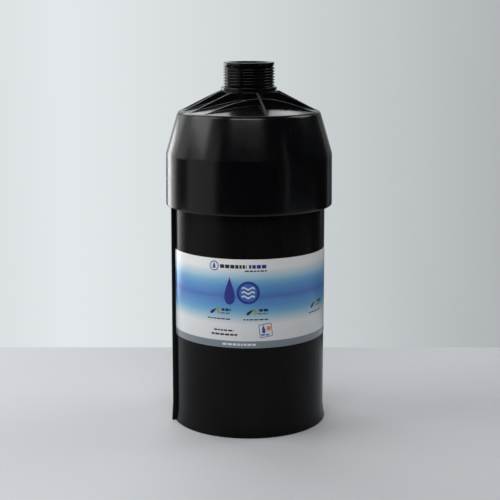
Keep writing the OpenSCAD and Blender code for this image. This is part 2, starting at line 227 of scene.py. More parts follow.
class Paint:
    """A node material: a Principled shader with helpers that add textures to it."""

    def __init__(self, name, colour, roughness, metallic=0.0, level=0.5):
        self.material = bpy.data.materials.new(name)
        self.material.use_nodes = True
        self.nodes = self.material.node_tree.nodes
        self.links = self.material.node_tree.links
        self.shader = self.nodes["Principled BSDF"]
        self.shader.inputs["Base Color"].default_value = (*colour, 1)
        self.shader.inputs["Roughness"].default_value = roughness
        self.shader.inputs["Metallic"].default_value = metallic
        self.shader.inputs["Specular IOR Level"].default_value = level
        self.place = self.nodes.new("ShaderNodeTexCoord").outputs["Object"]
        self.bump_out = None

    def link(self, source, target):
        self.links.new(source, target)

    def mapping(self, scale):
        """Object coordinates, stretched by these factors."""
        node = self.nodes.new("ShaderNodeMapping")
        node.inputs["Scale"].default_value = scale
        self.link(self.place, node.inputs["Vector"])
        return node.outputs["Vector"]

    def noise(self, scale, detail, rough=0.5, stretch=None):
        """Noise with this many features per metre."""
        node = self.nodes.new("ShaderNodeTexNoise")
        node.inputs["Scale"].default_value = scale
        node.inputs["Detail"].default_value = detail
        node.inputs["Roughness"].default_value = rough
        self.link(self.mapping(stretch) if stretch else self.place, node.inputs["Vector"])
        return node.outputs["Fac"]

    def cells(self, scale, feature="F1", output="Distance"):
        """Cells, this many per metre: the distance within each, or each one's own colour."""
        node = self.nodes.new("ShaderNodeTexVoronoi")
        node.feature = feature
        node.inputs["Scale"].default_value = scale
        self.link(self.place, node.inputs["Vector"])
        return node.outputs[output]

    def span(self, value, low_in, high_in, low_out, high_out):
        """Maps one range of a value to another and holds it at the ends."""
        node = self.nodes.new("ShaderNodeMapRange")
        node.inputs["From Min"].default_value = low_in
        node.inputs["From Max"].default_value = high_in
        node.inputs["To Min"].default_value = low_out
        node.inputs["To Max"].default_value = high_out
        self.link(value, node.inputs["Value"])
        return node.outputs["Result"]

    def math(self, operation, first, second):
        """Works on a socket and on a number or a second socket."""
        node = self.nodes.new("ShaderNodeMath")
        node.operation = operation
        self.link(first, node.inputs[0])
        if isinstance(second, float):
            node.inputs[1].default_value = second
        else:
            self.link(second, node.inputs[1])
        return node.outputs["Value"]

    def mix(self, factor, first, second):
        """Mixes two colours, each a tuple or a socket."""
        node = self.nodes.new("ShaderNodeMix")
        node.data_type = "RGBA"
        self.link(factor, node.inputs["Factor"])
        for key, value in (("A", first), ("B", second)):
            socket = [s for s in node.inputs if s.name == key and s.type == "RGBA"][0]
            if isinstance(value, tuple):
                socket.default_value = (*value, 1)
            else:
                self.link(value, socket)
        return [s for s in node.outputs if s.type == "RGBA"][0]

    def ramp(self, value, stops):
        """Colours that follow a value, through stops of (value, colour)."""
        node = self.nodes.new("ShaderNodeValToRGB")
        points = node.color_ramp.elements
        while len(points) < len(stops):
            points.new(0.5)
        for point, (at, colour) in zip(points, stops):
            point.position = at
            point.color = (*colour, 1)
        self.link(value, node.inputs["Fac"])
        return node.outputs["Color"]

    def colour(self, source):
        self.link(source, self.shader.inputs["Base Color"])

    def rough(self, source):
        self.link(source, self.shader.inputs["Roughness"])

    def bump(self, height, strength, distance):
        """Adds relief on top of any that the material already has."""
        node = self.nodes.new("ShaderNodeBump")
        node.inputs["Strength"].default_value = strength
        node.inputs["Distance"].default_value = distance
        self.link(height, node.inputs["Height"])
        if self.bump_out is not None:
            self.link(self.bump_out, node.inputs["Normal"])
        self.bump_out = node.outputs["Normal"]
        self.link(self.bump_out, self.shader.inputs["Normal"])


def scaled(colour, by, lift=0.0):
    """A colour made lighter or darker."""
    return tuple(min(1, c * by + lift) for c in colour)


def moulded(name, colour, roughness, peel, grain, wear, level=0.5):
    """Injection-moulded plastic: slow colour drift, orange peel, fine grain and light scuffs."""
    p = Paint(name, colour, roughness, level=level)
    drift = p.noise(22, 3)
    scuff = p.noise(160, 8, 0.7, stretch=(1.0, 1.0, 0.25))
    scuffed = p.span(scuff, 0.60, 0.74, 0.0, wear)
    base = p.mix(p.span(drift, 0.35, 0.65, 0.0, 0.6), colour, scaled(colour, 1.8))
    p.colour(p.mix(scuffed, base, scaled(colour, 2, 0.012)))
    even = p.span(p.noise(60, 5), 0.3, 0.7, roughness * 0.86, roughness * 1.16)
    p.rough(p.math("ADD", even, p.math("MULTIPLY", scuffed, 0.35)))
    p.bump(p.noise(95, 2), peel, 0.6 * MM)
    p.bump(p.noise(2600, 2), grain, 0.04 * MM)
    return p.material


def extruded(name, colour, roughness, level):
    """Extruded tube: fine draw lines along Z, dust and light rub marks."""
    p = Paint(name, colour, roughness, level=level)
    lines = p.noise(700, 3, 0.5, stretch=(1.0, 1.0, 0.012))
    dust = p.span(p.noise(420, 9, 0.75), 0.62, 0.78, 0.0, 0.5)
    rub = p.span(p.noise(28, 4, 0.6, stretch=(1.0, 1.0, 0.35)), 0.45, 0.75, 0.0, 1.0)
    base = p.mix(rub, colour, scaled(colour, 2))
    p.colour(p.mix(dust, base, (0.006, 0.0062, 0.007)))
    even = p.span(lines, 0.3, 0.7, roughness * 0.93, roughness * 1.08)
    p.rough(p.math("ADD", even, p.math("MULTIPLY", dust, 0.2)))
    p.bump(lines, 0.05, 0.03 * MM)
    p.bump(p.noise(60, 2), 0.12, 0.5 * MM)
    return p.material


def steel(name, roughness, stretch):
    """Drawn or stamped stainless steel with fine directional marks."""
    p = Paint(name, (0.62, 0.62, 0.60), roughness, metallic=1.0)
    marks = p.noise(1500, 4, 0.6, stretch=stretch)
    drift = p.span(p.noise(90, 4), 0.3, 0.7, 0, 1)
    p.colour(p.mix(drift, (0.66, 0.66, 0.64), (0.52, 0.52, 0.50)))
    p.rough(p.span(marks, 0.3, 0.7, roughness * 0.7, roughness * 1.4))
    p.bump(marks, 0.12, 0.03 * MM)
    return p.material


def rubber(name):
    """Black rubber with a pale bloom in patches."""
    p = Paint(name, (0.013, 0.013, 0.013), 0.62)
    bloom = p.span(p.noise(180, 6, 0.7), 0.5, 0.75, 0, 0.8)
    p.colour(p.mix(bloom, (0.012, 0.012, 0.012), (0.045, 0.045, 0.047)))
    p.rough(p.span(p.noise(300, 3), 0.3, 0.7, 0.52, 0.72))
    p.bump(p.noise(1800, 3), 0.25, 0.05 * MM)
    return p.material


def felt_cloth(name):
    """Needled felt: tangled fibres and needle dimples."""
    p = Paint(name, (0.72, 0.71, 0.67), 0.95)
    p.shader.inputs["Sheen Weight"].default_value = 0.35
    p.shader.inputs["Sheen Roughness"].default_value = 0.6
    fibre = p.noise(1400, 6, 0.7, stretch=(1.0, 0.3, 1.0))
    cross = p.noise(1400, 6, 0.7, stretch=(0.3, 1.0, 1.0))
    tangle = p.math("MAXIMUM", fibre, cross)
    p.colour(p.mix(p.span(tangle, 0.45, 0.75, 0, 1), (0.60, 0.59, 0.55), (0.82, 0.81, 0.77)))
    p.bump(tangle, 0.9, 0.25 * MM)
    p.bump(p.cells(420), 0.35, 0.3 * MM)
    return p.material


def granules(name, dark, light, per_metre):
    """Loose granules: each has its own tone, with painted shade darkening the gaps between them."""
    p = Paint(name, light, 0.8)
    tone = p.cells(per_metre, output="Color")
    gap_shade_and_relief = p.span(p.cells(per_metre, feature="DISTANCE_TO_EDGE"), 0.0, 0.12, 0.0, 1.0)
    # The gaps between granules are coloured a third of the dark tone: painted shade. The same mask also
    # sinks them in the bump.
    p.colour(p.mix(gap_shade_and_relief, scaled(dark, 0.35), p.mix(tone, dark, light)))
    p.bump(gap_shade_and_relief, 1.0, 0.5 * MM)
    p.bump(p.noise(per_metre * 4, 4), 0.3, 0.1 * MM)
    return p.material


def milky(name, colour):
    """Natural polypropylene: waxy and slightly see-through."""
    p = Paint(name, colour, 0.42)
    p.shader.inputs["Subsurface Weight"].default_value = 0.25
    p.shader.inputs["Subsurface Radius"].default_value = (0.004, 0.004, 0.004)
    drift = p.span(p.noise(45, 4), 0.35, 0.65, 0, 1)
    p.colour(p.mix(drift, colour, scaled(colour, 0.9)))
    p.rough(p.span(p.noise(120, 4), 0.3, 0.7, 0.36, 0.5))
    p.bump(p.noise(110, 2), 0.15, 0.4 * MM)
    return p.material


def label_film(name):
    """Printed film: white, a soft blue band that is deepest along its middle, and a grey foot."""
    p = Paint(name, (0.83, 0.84, 0.85), 0.34)
    split = p.nodes.new("ShaderNodeSeparateXYZ")
    p.link(p.place, split.inputs["Vector"])
    height = p.span(split.outputs["Z"], LABEL_LOW, LABEL_HIGH, 0.0, 1.0)
    white = (0.80, 0.81, 0.82)
    band = p.ramp(height, [
        (0.0, white), (0.27, white), (0.31, (0.62, 0.71, 0.76)), (0.37, (0.31, 0.54, 0.70)),
        (0.42, (0.14, 0.39, 0.65)), (0.48, (0.085, 0.29, 0.61)), (0.545, (0.072, 0.23, 0.58)),
        (0.585, (0.052, 0.165, 0.50)), (0.62, (0.068, 0.215, 0.56)), (0.70, (0.10, 0.32, 0.62)),
        (0.755, (0.19, 0.43, 0.67)), (0.81, (0.40, 0.61, 0.74)), (0.865, (0.64, 0.72, 0.77)),
        (0.90, white)
    ])
    above_foot = p.span(height, 0.078, 0.082, 0.0, 1.0)
    print_grain = p.span(p.noise(700, 4), 0.35, 0.65, 0.0, 0.06)
    printed = p.mix(above_foot, (0.20, 0.235, 0.265), band)
    p.colour(p.mix(print_grain, printed, (0.5, 0.55, 0.6)))
    p.rough(p.span(p.noise(150, 4), 0.3, 0.7, 0.28, 0.42))
    p.bump(p.noise(40, 2, stretch=(1.0, 1.0, 0.5)), 0.10, 0.4 * MM)
    p.shader.inputs["Coat Weight"].default_value = 0.25
    p.shader.inputs["Coat Roughness"].default_value = 0.2
    return p.material


def ink(name, colour):
    """Print on the label, with a little uneven coverage."""
    p = Paint(name, colour, 0.4)
    thin = p.span(p.noise(900, 4), 0.4, 0.7, 0, 0.25)
    p.colour(p.mix(thin, colour, scaled(colour, 0.7, 0.03)))
    p.bump(p.noise(1500, 2), 0.05, 0.02 * MM)
    return p.material


def paper(name, colour, roughness):
    """Matt card with a faint drift of tone."""
    p = Paint(name, colour, roughness, level=0.2)
    drift = p.span(p.noise(3, 3), 0.3, 0.7, 0, 1)
    p.colour(p.mix(drift, colour, scaled(colour, 0.985)))
    p.bump(p.noise(900, 3), 0.03, 0.05 * MM)
    return p.material


CAP_BLACK = moulded(
    "cap_black", (0.0014, 0.0016, 0.0022), roughness=0.20, peel=0.10, grain=0.05, wear=0.30, level=0.3
)
TUBE_BLACK = extruded("tube_black", (0.0026, 0.0027, 0.0030), roughness=0.28, level=0.11)
# Paler plastic for the webs' tops: its colour is a painted highlight, and it carries scuffs as well.
CAP_PAINTED_HIGHLIGHT_AND_SCUFFS = moulded(
    "cap_painted_highlight_and_scuffs", (0.026, 0.027, 0.029), roughness=0.34, peel=0.10, grain=0.25, wear=0.5, level=0.4
)
INNER_BLACK = moulded(
    "inner_black", (0.016, 0.017, 0.018), roughness=0.45, peel=0.20, grain=0.20, wear=0.6
)
SEAL_RUBBER = rubber("seal_rubber")
STEEL_DRAWN = steel("steel_drawn", 0.28, (1.0, 1.0, 0.05))
STEEL_ROUND = steel("steel_round", 0.30, (0.2, 0.2, 1.0))
FELT = felt_cloth("needled_felt")
SORBENT = granules("sorbent_granules", (0.42, 0.34, 0.20), (0.78, 0.70, 0.52), 420)
LOCK = granules("lock_granules", (0.62, 0.60, 0.54), (0.90, 0.89, 0.85), 560)
PLATE = milky("natural_plate", (0.62, 0.64, 0.65))
BUSH = milky("ivory_bush", (0.80, 0.76, 0.64))
LABEL_FILM = label_film("label_film")


# ---------------------------------------------------------------- cap

def deck_z(r):
    """Height of the sloping deck at this radius."""
    return SHOULDER_Z + (SHOULDER_R - r) * DECK_SLOPE


def web_z(r):
    """Height of the webs' tops at this radius."""
    return min(NECK_Z - 0.1 * MM, SHOULDER_Z + (SHOULDER_R - WEB_INSET - r) * WEB_SLOPE)


def cap_outline():
    """Section of the cap: over the neck and deck, down the cone and skirt, and back up inside."""
    corners = [
        (NECK_BORE_R, BOSS_Z, 0.4 * MM),
        (NECK_BORE_R, NECK_Z, 0.3 * MM),
        (NECK_R, NECK_Z, 0.5 * MM),
        (NECK_R, deck_z(NECK_R), 1.4 * MM),
        (SHOULDER_R, deck_z(SHOULDER_R), 2.3 * MM),
        (CAP_R - 0.35 * MM, KNEE_Z, 1.2 * MM),
        (CAP_R, SKIRT_Z + 3 * MM, 0),
        (CAP_R, SKIRT_Z, 1.3 * MM),
        (SOCKET_R + 0.3 * MM, SKIRT_Z, 1.2 * MM),
        (SOCKET_R, SKIRT_Z + 3 * MM, 0)
    ]
    for seal in SEAL_HEIGHTS:
        bottom = SKIRT_Z + seal - SEAL_GROOVE_HALF
        top = SKIRT_Z + seal + SEAL_GROOVE_HALF
        corners += [
            (SOCKET_R, bottom, 0),
            (SEAL_GROOVE_R, bottom, 0.3 * MM),
            (SEAL_GROOVE_R, top, 0.3 * MM),
            (SOCKET_R, top, 0)
        ]
    corners += [
        (SOCKET_R, SOCKET_TOP, 0.3 * MM),
        (STOP_R, SOCKET_TOP, 0.4 * MM),
        (STOP_R, SOCKET_TOP + 3 * MM, 0.6 * MM),
        (CAP_R - 4 * MM, SOCKET_TOP + 6.5 * MM, 1.5 * MM),
        (SHOULDER_R - CAP_WALL, SHOULDER_Z - CAP_WALL, 2 * MM),
        (BOSS_R, deck_z(BOSS_R) - CAP_WALL, 0.8 * MM),
        (BOSS_R, BOSS_Z, 0.5 * MM)
    ]
    return rounded(corners)


def add_web(shape, offset, start, end, turn, stations=44):
    """A straight upright web at offset from the axis, with a flared root and a round top."""
    half, flare, crown = WEB_T / 2, 1.1 * MM, 0.45 * MM
    thinnest, seam, sunk = 0.05 * MM, 0.04 * MM, 0.8 * MM
    rows = []
    for i in range(stations + 1):
        x = start + (end - start) * i / stations
        deck = deck_z(math.hypot(x, offset))
        height = max(web_z(math.hypot(x, offset)) - deck, thinnest)
        root = min(flare, 0.45 * height)
        cap = min(crown, 0.4 * height)
        section = [
            (half + root, 0.0),
            (half + 0.45 * root, 0.18 * root),
            (half + 0.12 * root, 0.55 * root),
            (half, root),
            (half * 0.96, height - cap),
            (half * 0.84, height - 0.3 * cap),
            (half * 0.6, height - 0.04 * cap)
        ]
        section += [(-y, z) for y, z in reversed(section)]
        row = []
        for y, z in section:
            ground = deck_z(math.hypot(x, offset + y)) if z < root else deck
            row.append((x, offset + y, ground + z - (seam if z == 0 else 0)))
        for y in (-(half + root), half + root):
            row.append((x, offset + y, deck_z(math.hypot(x, offset + y)) - sunk))
        rows.append([Matrix.Rotation(turn, 3, "Z") @ Vector(p) for p in row])
    shape.grid(rows, wrap_columns=True, capped=True)


def make_cap():
    """Bell cap with five parallel webs and one across them, with a painted highlight: the webs' tops are
    coloured paler.
    """
    rim = SHOULDER_R - 2.2 * MM
    inside_neck = NECK_R - 0.8 * MM
    shape = Shape()
    shape.lathe(cap_outline(), turns=224)
    for k in (-2, -1, 0, 1, 2):
        offset = k * WEB_PITCH
        reach = math.sqrt(rim ** 2 - offset ** 2)
        if abs(offset) > NECK_R:
            add_web(shape, offset, -reach, reach, WEB_TURN, stations=88)
            continue
        inner = math.sqrt(inside_neck ** 2 - offset ** 2)
        add_web(shape, offset, inner, reach, WEB_TURN)
        add_web(shape, offset, -reach, -inner, WEB_TURN)
    for side in (-1, 1):
        add_web(shape, 0, inside_neck, rim, WEB_TURN + side * math.pi / 2)
    made = shape.piece("cap_moulding", "cap", "cap_moulding", CAP_BLACK, sharp=50, merge=1e-7)
    made.data.materials.append(CAP_PAINTED_HIGHLIGHT_AND_SCUFFS)
    over_deck, under_crest, clear_of_neck = 0.7 * MM, 0.35 * MM, 0.3 * MM
    # Faces along the webs' tops take the paler finish, which paints a highlight there.
    for face in made.data.polygons:
        r = face.center.xy.length
        highlight_from = max(deck_z(r) + over_deck, web_z(r) - under_crest)
        if NECK_R + clear_of_neck < r < SHOULDER_R and face.center.z > highlight_from:
            face.material_index = 1
    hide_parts("top_cap")


# ---------------------------------------------------------------- inlet spigot

def thread_height(phase):
    """Height of the thread over its root, 0 to 1, at a phase of 0 to 1 round one pitch."""
    half_crest, half_root = 0.25 * MM / PITCH, 0.135 * MM / PITCH
    away = abs(phase - 0.5)
    t = (away - half_crest) / (0.5 - half_root - half_crest)
    t = min(max(t, 0.0), 1.0)
    straight = 0.65
    return 1 - t * t * (3 - 2 * t) * (1 - straight) - t * straight


def make_spigot():
    """Spigot with a helical thread that fades in and out over a short run at its ends."""
    turns = 160
    per_pitch = 14
    bottom = COLLAR_Z + COLLAR_T
    top = MOUTH_Z - LEAD_H
    run = 0.7 * MM
    rows = []
    for k in range(int((top - bottom) / PITCH + 2) * per_pitch + 1):
        row = []
        for i in range(turns + 1):
            z = bottom + PITCH * (k / per_pitch - 1 + i / turns)
            fade = min(1.0, max(0.0, min(z - bottom, top - z)) / run)
            z = min(max(z, bottom), top)
            r = ROOT_R + (CREST_R - ROOT_R) * thread_height(k / per_pitch % 1.0) * fade
            row.append(polar(r, 2 * math.pi * i / turns, z))
        rows.append(row)
    shape = Shape()
    shape.grid(rows)
    lead = CREST_R - 0.4 * MM
    outline = rounded([
        (ROOT_R, top, 0),
        (lead, top + 0.35 * MM, 0.25 * MM),
        (lead, MOUTH_Z, 0.55 * MM),
        (BORE_R, MOUTH_Z, 0.7 * MM),
        (BORE_R, SEAT_TOP, 0.3 * MM),
        (SEAT_R, SEAT_TOP, 0.3 * MM),
        (SEAT_R, SEAT_Z, 0.2 * MM),
        (THROAT_R, SEAT_Z, 0.3 * MM),
        (THROAT_R, SHANK_Z, 0.4 * MM),
        (SHANK_R, SHANK_Z, 0.6 * MM),
        (SHANK_R, COLLAR_Z, 0.2 * MM),
        (COLLAR_R, COLLAR_Z, 0.35 * MM),
        (COLLAR_R, bottom, 0.55 * MM),
        (ROOT_R, bottom, 0)
    ])
    shape.lathe(outline, turns=turns, closed=False)
    made = shape.piece("spigot_with_thread", "cap", "cap_moulding", CAP_BLACK, sharp=40, merge=2e-6)
    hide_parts("inlet_spigot")


# ---------------------------------------------------------------- tube, rail and label

def foot_spread(z):
    """How far the foot stands out beyond the tube at this height."""
    return (FOOT_R - TUBE_R) * max(0.0, 1 - z / FOOT_H) ** 2


def make_tube():
    """Plain tube with a groove for the snap ring and a foot that spreads on a curve."""
    steps = 12
    groove_top = SNAP_HIGH + SNAP_PLAY
    groove_bottom = SNAP_LOW - SNAP_PLAY
    outline = rounded([
        (TUBE_R, FOOT_H, 0),
        (TUBE_R, TUBE_TOP, 0.9 * MM),
        (TUBE_IN_R, TUBE_TOP, 0.5 * MM),
        (TUBE_IN_R, groove_top, 0.2 * MM),
        (TUBE_IN_R + SNAP_GROOVE, groove_top, 0.2 * MM),
        (TUBE_IN_R + SNAP_GROOVE, groove_bottom, 0.2 * MM),
        (TUBE_IN_R, groove_bottom, 0.2 * MM),
        (TUBE_IN_R, TUBE_FOOT_OPENING, 1.5 * MM),
        (TUBE_IN_R + 1.3 * MM, 0, 0.4 * MM),
        (FOOT_R, 0, 1.3 * MM)
    ])
    for z in (i * FOOT_H / steps for i in range(1, steps)):
        outline.append(Vector((TUBE_R + foot_spread(z), z)))
    shape = Shape()
    shape.lathe(outline, turns=224)
    made = shape.piece("tube_with_foot", "tube", "tube_plastic", TUBE_BLACK, sharp=40)
    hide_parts("body_tube")


def make_rail():
    """Upright rail with a round outer edge. It follows the foot, and its top leans in a little."""
    straight = RAIL_TOP - 1 * MM - FOOT_H
    lean_h, lean = 0.5 * MM, 0.6 * MM
    heights = [i * FOOT_H / 10 for i in range(11)]
    heights += [FOOT_H + straight * i / 6 for i in range(1, 7)]
    heights += [RAIL_TOP - 0.45 * MM, RAIL_TOP - 0.1 * MM, RAIL_TOP]
    half = RAIL_ANGLE / 2
    rows = []
    for z in heights:
        inner = TUBE_R + 0.05 * MM + foot_spread(z)
        flare = 0.9 * MM * max(0.0, 1 - z / FOOT_H)
        outer = TUBE_R + RAIL_OUT + flare - lean * max(0.0, 1 - (RAIL_TOP - z) / lean_h)
        outline = [
            (inner, -half),
            (outer - 0.8 * MM, -half),
            (outer - 0.3 * MM, -half * 0.86),
            (outer - 0.05 * MM, -half * 0.5),
            (outer, 0)
        ]
        outline += [(r, -a) for r, a in reversed(outline[:-1])]
        rows.append([polar(r, RAIL_TURN + a, z) for r, a in outline])
    shape = Shape()
    shape.grid(rows, wrap_columns=True, capped=True)
    made = shape.piece("rail_with_round_edge", "tube", "tube_plastic", TUBE_BLACK, sharp=40)
    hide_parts("side_rail")


def make_label():
    """Thin band with round corners that starts and ends beside the rail."""
    margin = math.radians(0.5)
    start = RAIL_TURN + RAIL_ANGLE / 2 + margin
    end = RAIL_TURN - RAIL_ANGLE / 2 - 3 * margin + 2 * math.pi
    steps = 220
    corner = 1.5 * MM
    edge_in, edge_up = 0.04 * MM, 0.08 * MM
    inner, shoulder = TUBE_R + LABEL_STANDOFF, LABEL_R - edge_in
    rows = []
    for i in range(steps + 1):
        angle = start + (end - start) * i / steps
        from_end = min(angle - start, end - angle) * LABEL_R
        cut = corner - math.sqrt(max(0.0, corner ** 2 - max(0.0, corner - from_end) ** 2))
        bottom, top = LABEL_LOW + cut, LABEL_HIGH - cut
        section = [
            (inner, bottom),
            (shoulder, bottom),
            (LABEL_R, bottom + edge_up),
            (LABEL_R, (bottom + top) / 2),
            (LABEL_R, top - edge_up),
            (shoulder, top),
            (inner, top)
        ]
        rows.append([polar(r, angle, z) for r, z in section])
    shape = Shape()
    shape.grid(rows, wrap_columns=True, capped=True)
    made = shape.piece("printed_label", "tube", "label_film", LABEL_FILM, sharp=30)
    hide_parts("label")


# ---------------------------------------------------------------- print on the label

# Outlines are in mm: x is the distance round the tube from the front, and z the height.

def tilted(points, x, z, tilt):
    """Points round the origin, turned by tilt degrees and moved to x, z."""
    cos, sin = math.cos(math.radians(tilt)), math.sin(math.radians(tilt))
    return [(x + px * cos - pz * sin, z + px * sin + pz * cos) for px, pz in points]


def drop(x, z, width, height, tilt=0.0, steps=36):
    """A water drop or leaf, point up."""
    points = []
    for i in range(steps):
        a = 2 * math.pi * i / steps
        points.append((width / 2 * math.sin(a) * math.sin(a / 2) ** 1.6, height / 2 * math.cos(a)))
    return tilted(points, x, z, tilt)


def disc(x, z, r, sides=28):
    """A round spot."""
    angles = [2 * math.pi * i / sides for i in range(sides)]
    return [(x + r * math.cos(a), z + r * math.sin(a)) for a in angles]


def slab(x, z, width, height, tilt=0.0, corner=0.25):
    """A rectangle with cut corners, centred on x, z."""
    c = min(corner, width / 3, height / 3)
    w, h = width / 2, height / 2
    half = [(-w + c, -h), (w - c, -h), (w, -h + c), (w, h - c)]
    return tilted(half + [(-px, -pz) for px, pz in half], x, z, tilt)


def wave(x, z, width, thickness, swing, periods, steps=40):
    """A wavy stroke."""
    top, bottom = [], []
    for i in range(steps + 1):
        t = i / steps
        level = swing * math.sin(2 * math.pi * periods * t)
        top.append((x - width / 2 + width * t, z + level + thickness / 2))
        bottom.append((x - width / 2 + width * t, z + level - thickness / 2))
    return bottom + top[::-1]


def words(x, z, width, height, seed):
    """A line of unreadable small print: blocks of uneven length, which the seed picks."""
    shortest, spread, space, least = 1.4, 2.2, 0.7, 0.5
    blocks = []
    at, end = x - width / 2, x + width / 2
    while at < end - least:
        uneven = abs(math.sin(12.9898 * (seed + len(blocks))))
        length = min(shortest + spread * uneven, end - at)
        blocks.append(slab(at + length / 2, z, length, height, corner=0.15))
        at += length + space
    return blocks


def print_piece(name, shapes, material, lift):
    """Outlines cut into narrow strips, made a little thick and bent round the label."""
    strip, sunk = 1.6, 0.03
    work = bmesh.new()
    for outline in shapes:
        one = bmesh.new()
        one.faces.new([one.verts.new((s, 0, z)) for s, z in outline])
        left = min(s for s, _ in outline)
        cut = math.floor(left) + 1.0
        while cut < max(s for s, _ in outline):
            parts = one.verts[:] + one.edges[:] + one.faces[:]
            bmesh.ops.bisect_plane(one, geom=parts, plane_co=(cut, 0, 0), plane_no=(1, 0, 0))
            cut += strip
        flat = bpy.data.meshes.new("part")
        one.to_mesh(flat)
        one.free()
        work.from_mesh(flat)
        bpy.data.meshes.remove(flat)
    sheet = bmesh.ops.extrude_face_region(work, geom=work.faces[:])
    raised = {v for v in sheet["geom"] if isinstance(v, bmesh.types.BMVert)}
    for v in work.verts:
        r = LABEL_R + (lift if v in raised else lift - sunk) * MM
        angle = v.co.x * MM / LABEL_R - math.pi / 2
        v.co = Vector(polar(r, angle, v.co.z * MM))
    bmesh.ops.recalc_face_normals(work, faces=work.faces)
    mesh = bpy.data.meshes.new(name)
    work.to_mesh(mesh)
    work.free()
    place(name, mesh, material, "tube")


def make_print():
    """Plain pictograms and blocks where a maker would print: nothing can be read from them."""
    foot, top = LABEL_LOW / MM, LABEL_HIGH / MM
    black, navy, blue, pale, royal, green, amber = [], [], [], [], [], [], []
    # heading: a ring with a drop, then blocks
    navy.append(disc(-28.5, top - 5.9, 4.0))
    pale.append(disc(-28.5, top - 5.9, 3.3))
    royal.append(drop(-28.5, top - 5.5, 3.4, 5.2))
    black += words(-12.6, top - 5.9, 21.5, 2.9, seed=3)
    navy += words(7.0, top - 5.8, 14.0, 2.9, seed=8)
    black += words(5.4, top - 9.3, 17.5, 1.1, seed=5)
    # main pictogram: a drop beside waves in a ring
    middle = foot + 46.2
    navy.append(drop(-15.6, middle + 0.4, 12.5, 22.5))
    navy.append(disc(-0.6, middle - 1.0, 9.2, 40))
    blue.append(disc(-0.6, middle - 1.0, 7.2, 40))
    for i in (-1, 0, 1):
        pale.append(wave(-0.6, middle - 1.0 + 3.4 * i, 10.4, 1.3, swing=0.8, periods=1.5))
    # small marks of three leaves, each with lines of small print
    for x, k in ((-24.5, 1), (5.6, 2), (65.5, 4)):
        black.append(drop(x - 4.6, foot + 29.6, 3.4, 7.4, tilt=-52))
        green.append(drop(x - 0.9, foot + 31.2, 2.4, 6.8, tilt=8))
        amber.append(drop(x + 0.4, foot + 29.0, 1.9, 4.4, tilt=-28))
        black += words(x + 6.2, foot + 31.0, 7.6, 2.0, seed=k)
        navy += words(x + 5.4, foot + 28.2, 8.0, 0.7, seed=k + 3)
        black += words(x - 0.2, foot + 23.4, 20.0, 1.0, seed=k + 5)
    # address lines and a tilted badge
    black += words(-20.5, foot + 14.2, 16.5, 1.3, seed=6)
    black += words(-20.2, foot + 10.8, 22.0, 1.5, seed=9)
    navy.append(slab(13.4, foot + 14.4, 10.6, 11.0, tilt=8, corner=0.8))
    pale.append(slab(13.4, foot + 14.4, 9.6, 10.0, tilt=8, corner=0.6))
    royal.append(drop(11.6, foot + 15.6, 4.2, 7.0, tilt=8))
    amber.append(disc(15.8, foot + 16.0, 1.9))
    royal += words(13.0, foot + 10.8, 6.5, 1.2, seed=2)
    pale += words(-8.0, foot + 3.0, 27.0, 1.7, seed=11)
    # a second panel at the back
    back = math.pi * LABEL_R / MM
    navy.append(drop(back - 12, middle, 10.5, 20.5))
    for i in range(4):
        black += words(back + 16, middle + 8 - 4.4 * i, 30, 1.3, seed=20 + i)
    for i in range(3):
        black += words(back + 2, foot + 20 - 3.6 * i, 46, 1.1, seed=30 + i)
    layers = (
        ("print_black", black, (0.012, 0.012, 0.016), 0.05),
        ("print_navy", navy, (0.018, 0.028, 0.26), 0.05),
        ("print_blue", blue, (0.03, 0.15, 0.52), 0.065),
        ("print_pale", pale, (0.74, 0.77, 0.80), 0.08),
        ("print_royal", royal, (0.02, 0.07, 0.42), 0.10),
        ("print_green", green, (0.16, 0.42, 0.05), 0.065),
        ("print_amber", amber, (0.80, 0.27, 0.03), 0.10)
    )
    for name, shapes, colour, lift in layers:
        print_piece(name, shapes, ink(name, colour), lift)


# ---------------------------------------------------------------- filling

def make_disc(name, node, slot, material, edge, rough, scale):
    """A soft or granular disc: round edges, and a surface roughened by fixed noise."""
    lo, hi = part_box(node)
    r = hi.x - rough
    bottom, top = lo.z + rough, hi.z - rough
    rings, turns = 40, 144
    steps = [r * i / rings for i in range(1, rings)]
    section = rounded([(0, bottom, 0), (r, bottom, edge), (r, top, edge), (0, top, 0)])
    side = [p for p in section if p.x > r * (1 - 1 / rings) - edge]
    outline = [Vector((x, bottom)) for x in steps if x < side[0].x] + side
    outline += [Vector((x, top)) for x in reversed(steps) if x < side[-1].x]
    shape = Shape()
    shape.lathe(outline, turns=turns, closed=False)
    shape.faces.append(list(reversed(range(turns))))
    shape.faces.append([(len(outline) - 1) * turns + j for j in range(turns)])
    made = shape.piece(name, "tube", slot, material, sharp=60)
    finer, depth, side_from = 2.3, 0.6 * rough, 0.97 * r
    for v in made.data.vertices:
        push = noise.noise(v.co * scale) + 0.5 * noise.noise(v.co * scale * finer)
        away = Vector((v.co.x, v.co.y, 0)).normalized() if v.co.xy.length > side_from else Vector()
        away.z = 1 if v.co.z > (bottom + top) / 2 else -1
        v.co += away * push * depth
    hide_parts(node)


